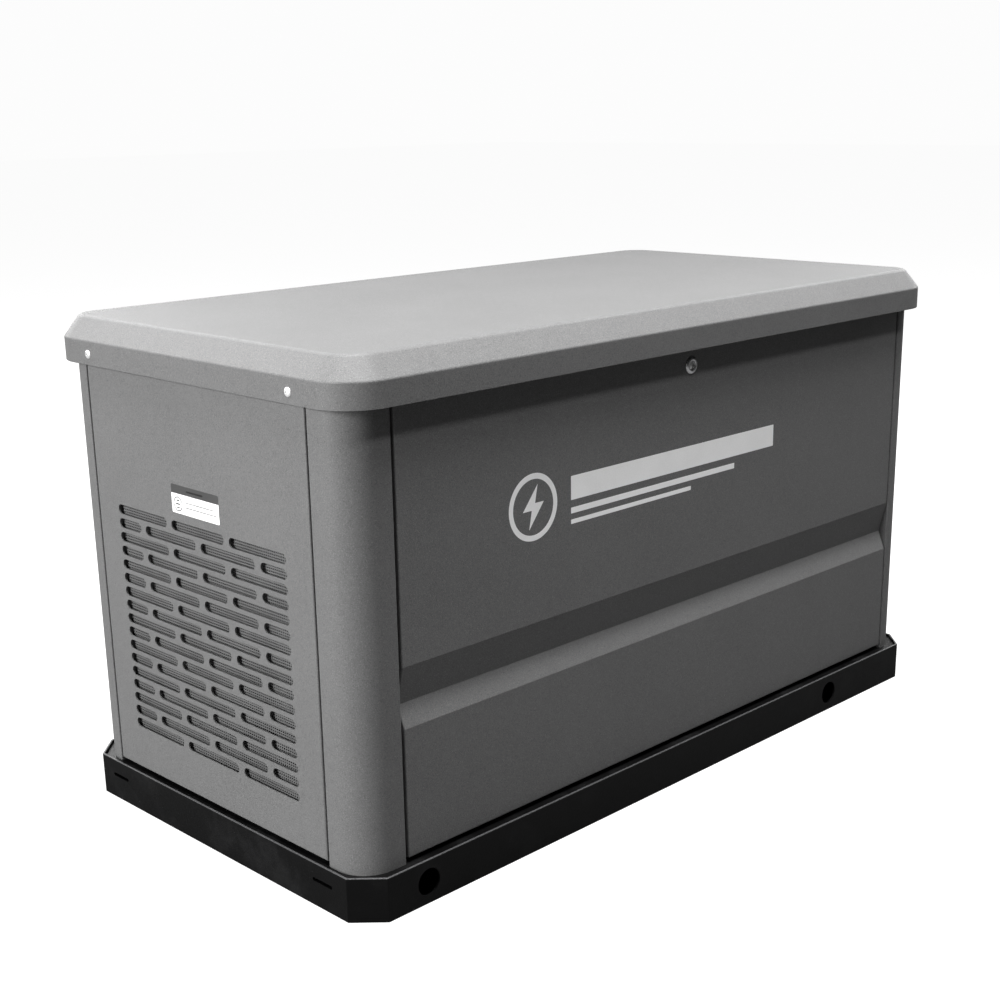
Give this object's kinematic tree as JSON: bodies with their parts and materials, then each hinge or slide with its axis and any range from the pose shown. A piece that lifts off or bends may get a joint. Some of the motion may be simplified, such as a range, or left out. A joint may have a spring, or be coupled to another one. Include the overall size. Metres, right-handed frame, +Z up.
{
  "type": "home standby generator",
  "caption": "Air-cooled home standby generator: grey sheet-metal enclosure on a black lifting base, hinged lid, lift-off door, louvred ends, engine and alternator inside.",
  "frame": {"origin": "centre of the footprint, on the ground plane", "axes": "+X along the length, away from the louvred air-intake end; -Y faces the door side; +Z up"},
  "size_m": [1.2248, 0.634, 0.6925],
  "materials": {
    "powder_coat": "fine textured powder coat, mid grey",
    "base_black": "satin black paint",
    "galvanised": "galvanised sheet",
    "zinc_hardware": "bright zinc and chrome plating",
    "cast_aluminium": "as-cast aluminium",
    "engine_black": "black engine enamel",
    "steel": "machined steel",
    "foam": "open-cell acoustic foam",
    "rubber": "moulded rubber",
    "black_plastic": "moulded black plastic",
    "grey_plastic": "moulded grey plastic",
    "brass": "turned brass",
    "exhaust_steel": "aluminised exhaust steel",
    "red_plastic": "red toggle",
    "yellow_zinc": "yellow passivated sheet"
  },
  "bodies": {
    "cabinet": {"air_cleaner": "black_plastic", "air_screens": "galvanised", "alternator_housing": "cast_aluminium", "alternator_stator": "steel", "base_tray": "base_black", "battery": "black_plastic", "breaker_body": "black_plastic", "cable_gland": "black_plastic", "control_box": "grey_plastic", "corner_posts": "powder_coat", "crankcase": "cast_aluminium", "cylinder_heads": "cast_aluminium", "cylinders": "cast_aluminium", "door_frame": "galvanised", "door_gasket": "rubber", "exhaust_pipes": "exhaust_steel", "fan_housing": "engine_black", "fuel_regulator": "cast_aluminium", "gas_hose": "rubber", "gas_inlet": "brass", "hinge_frame_leaves": "galvanised", "hinge_pins": "zinc_hardware", "intake_mixer": "cast_aluminium", "left_end_panel": "powder_coat", "lid_gasket": "rubber", "lock_keeper": "galvanised", "muffler": "exhaust_steel", "oil_filter": "yellow_zinc", "partition": "galvanised", "rear_panel": "powder_coat", "rear_screws": "zinc_hardware", "right_end_panel": "powder_coat", "rubber_mounts": "rubber", "shaft_bearings": "steel", "skid_rails": "galvanised", "starter_motor": "engine_black", "strut_lower_brackets": "galvanised", "top_frame": "galvanised"},
    "lid": {"lid": "powder_coat", "lid_ribs": "galvanised", "lid_screws": "zinc_hardware", "lid_liner": "foam", "hinge_lid_leaves": "galvanised", "strut_upper_brackets": "galvanised", "lock_striker": "galvanised"},
    "door": {"front_door": "powder_coat", "door_liner": "foam", "door_pins": "zinc_hardware", "lock_barrel": "zinc_hardware"},
    "lock": {"lock_plug": "zinc_hardware", "lock_cam": "zinc_hardware"},
    "strut_tube_l": {"strut_tube_left": "engine_black"},
    "strut_rod_l": {"strut_rod_left": "zinc_hardware"},
    "strut_tube_r": {"strut_tube_right": "engine_black"},
    "strut_rod_r": {"strut_rod_right": "zinc_hardware"},
    "rotor": {"crankshaft": "steel", "flywheel_fan": "cast_aluminium", "alternator_rotor": "steel"},
    "mode_switch": {"mode_rocker": "black_plastic"},
    "breaker_lever": {"breaker_toggle": "red_plastic"}
  },
  "joints": [
    {"name": "lid_hinge", "type": "hinge", "parent": "cabinet", "child": "lid", "pos_m": [0, 0.306, 0.642], "axis": [-1, 0, 0], "range_deg": [0, 60]},
    {"name": "door_lift_off", "type": "slide", "parent": "cabinet", "child": "door", "axis": [0, -1, 0], "range_m": [0, 0.35]},
    {"name": "lock_turn", "type": "hinge", "parent": "door", "child": "lock", "pos_m": [0.016, -0.299, 0.607], "axis": [0, 1, 0], "range_deg": [0, 180]},
    {"name": "rotor_spin", "type": "hinge", "parent": "cabinet", "child": "rotor", "pos_m": [0, 0.02, 0.26], "axis": [1, 0, 0], "continuous": true},
    {"name": "mode_switch_rock", "type": "hinge", "parent": "cabinet", "child": "mode_switch", "pos_m": [-0.46, -0.225, 0.51], "axis": [1, 0, 0], "range_deg": [-12, 12]},
    {"name": "breaker_throw", "type": "hinge", "parent": "cabinet", "child": "breaker_lever", "pos_m": [-0.375, -0.232, 0.505], "axis": [1, 0, 0], "range_deg": [0, 40]},
    {"name": "strut_tube_l_swing", "type": "hinge", "parent": "cabinet", "child": "strut_tube_l", "pos_m": [-0.54, 0.20002, 0.47239], "axis": [-1, 0, 0], "range_deg": [0, 30.5]},
    {"name": "strut_rod_l_swing", "type": "hinge", "parent": "lid", "child": "strut_rod_l", "pos_m": [-0.54, 0.10649, 0.65595], "axis": [-1, 0, 0], "range_deg": [-30.5, 0]},
    {"name": "strut_tube_r_swing", "type": "hinge", "parent": "cabinet", "child": "strut_tube_r", "pos_m": [0.54, 0.20002, 0.47239], "axis": [-1, 0, 0], "range_deg": [0, 30.5]},
    {"name": "strut_rod_r_swing", "type": "hinge", "parent": "lid", "child": "strut_rod_r", "pos_m": [0.54, 0.10649, 0.65595], "axis": [-1, 0, 0], "range_deg": [-30.5, 0]}
  ],
  "couplings": [
    {"joint": "strut_tube_l_swing", "follows": "lid_hinge", "ratio": 0.5},
    {"joint": "strut_rod_l_swing", "follows": "lid_hinge", "ratio": -0.5},
    {"joint": "strut_tube_r_swing", "follows": "lid_hinge", "ratio": 0.5},
    {"joint": "strut_rod_r_swing", "follows": "lid_hinge", "ratio": -0.5}
  ]
}
